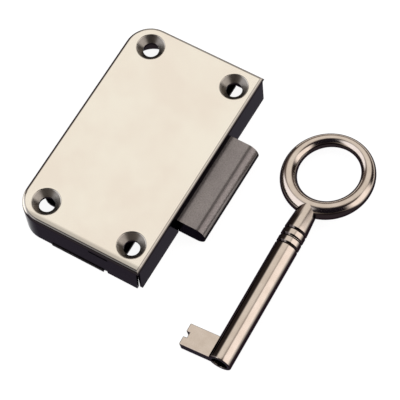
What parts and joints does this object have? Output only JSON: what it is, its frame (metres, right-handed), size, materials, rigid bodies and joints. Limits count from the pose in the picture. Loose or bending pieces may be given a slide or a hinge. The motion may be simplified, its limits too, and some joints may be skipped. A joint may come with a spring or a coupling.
{
  "type": "furniture lock",
  "caption": "Surface-mounted furniture lock with a plated steel case, bull-nosed sliding bolt, gated levers on a pivot, and its loose barrel key.",
  "frame": {"origin": "middle of the case's outline on the door face, the flat side that rests on the door", "axes": "+X out of the forend, the way the bolt is thrown; +Y along the case; +Z away from the door, out of the countersunk face"},
  "size_m": [0.0758, 0.0719, 0.0099],
  "materials": {
    "nickel_case": "polished nickel plate on pressed steel",
    "plated_steel": "bright zinc plate on stamped steel",
    "zinc_cast": "matt zinc casting",
    "turned_steel": "turned steel",
    "lever_steel": "stamped steel, lightly oiled",
    "spring_steel": "blued spring steel",
    "nickel_key": "polished nickel plate on steel"
  },
  "bodies": {
    "case": {"case": "nickel_case", "base_plate": "plated_steel", "drill_pin": "turned_steel", "pivot_post": "turned_steel", "guide_post": "turned_steel", "guide_washer": "plated_steel", "lever_spacer": "turned_steel", "lever_shim": "turned_steel"},
    "bolt": {"bolt": "zinc_cast", "stump_pin": "turned_steel"},
    "upper_lever": {"lever_upper": "lever_steel", "spring_upper": "spring_steel"},
    "lower_lever": {"lever_lower": "lever_steel", "spring_lower": "spring_steel"},
    "key": {"key_shank": "nickel_key", "key_bow": "nickel_key", "key_bit": "nickel_key"}
  },
  "joints": [
    {"name": "bolt_slide", "type": "slide", "parent": "case", "child": "bolt", "axis": [-1, 0, 0], "range_m": [0, 0.008]},
    {"name": "upper_lever_lift", "type": "hinge", "parent": "case", "child": "upper_lever", "pos_m": [0.014, 0.019, 0], "axis": [0, 0, -1], "range_deg": [0, 6], "deforming": ["spring_upper"]},
    {"name": "lower_lever_lift", "type": "hinge", "parent": "case", "child": "lower_lever", "pos_m": [0.014, 0.019, 0], "axis": [0, 0, -1], "range_deg": [0, 6], "deforming": ["spring_lower"]},
    {"name": "key_lift", "type": "slide", "parent": "case", "child": "key", "axis": [0, 0, 1], "range_m": [0, 0.04]}
  ],
  "couplings": [
    {"joint": "upper_lever_lift", "follows": "bolt_slide", "rad_per_m": 13},
    {"joint": "lower_lever_lift", "follows": "bolt_slide", "rad_per_m": 13}
  ]
}
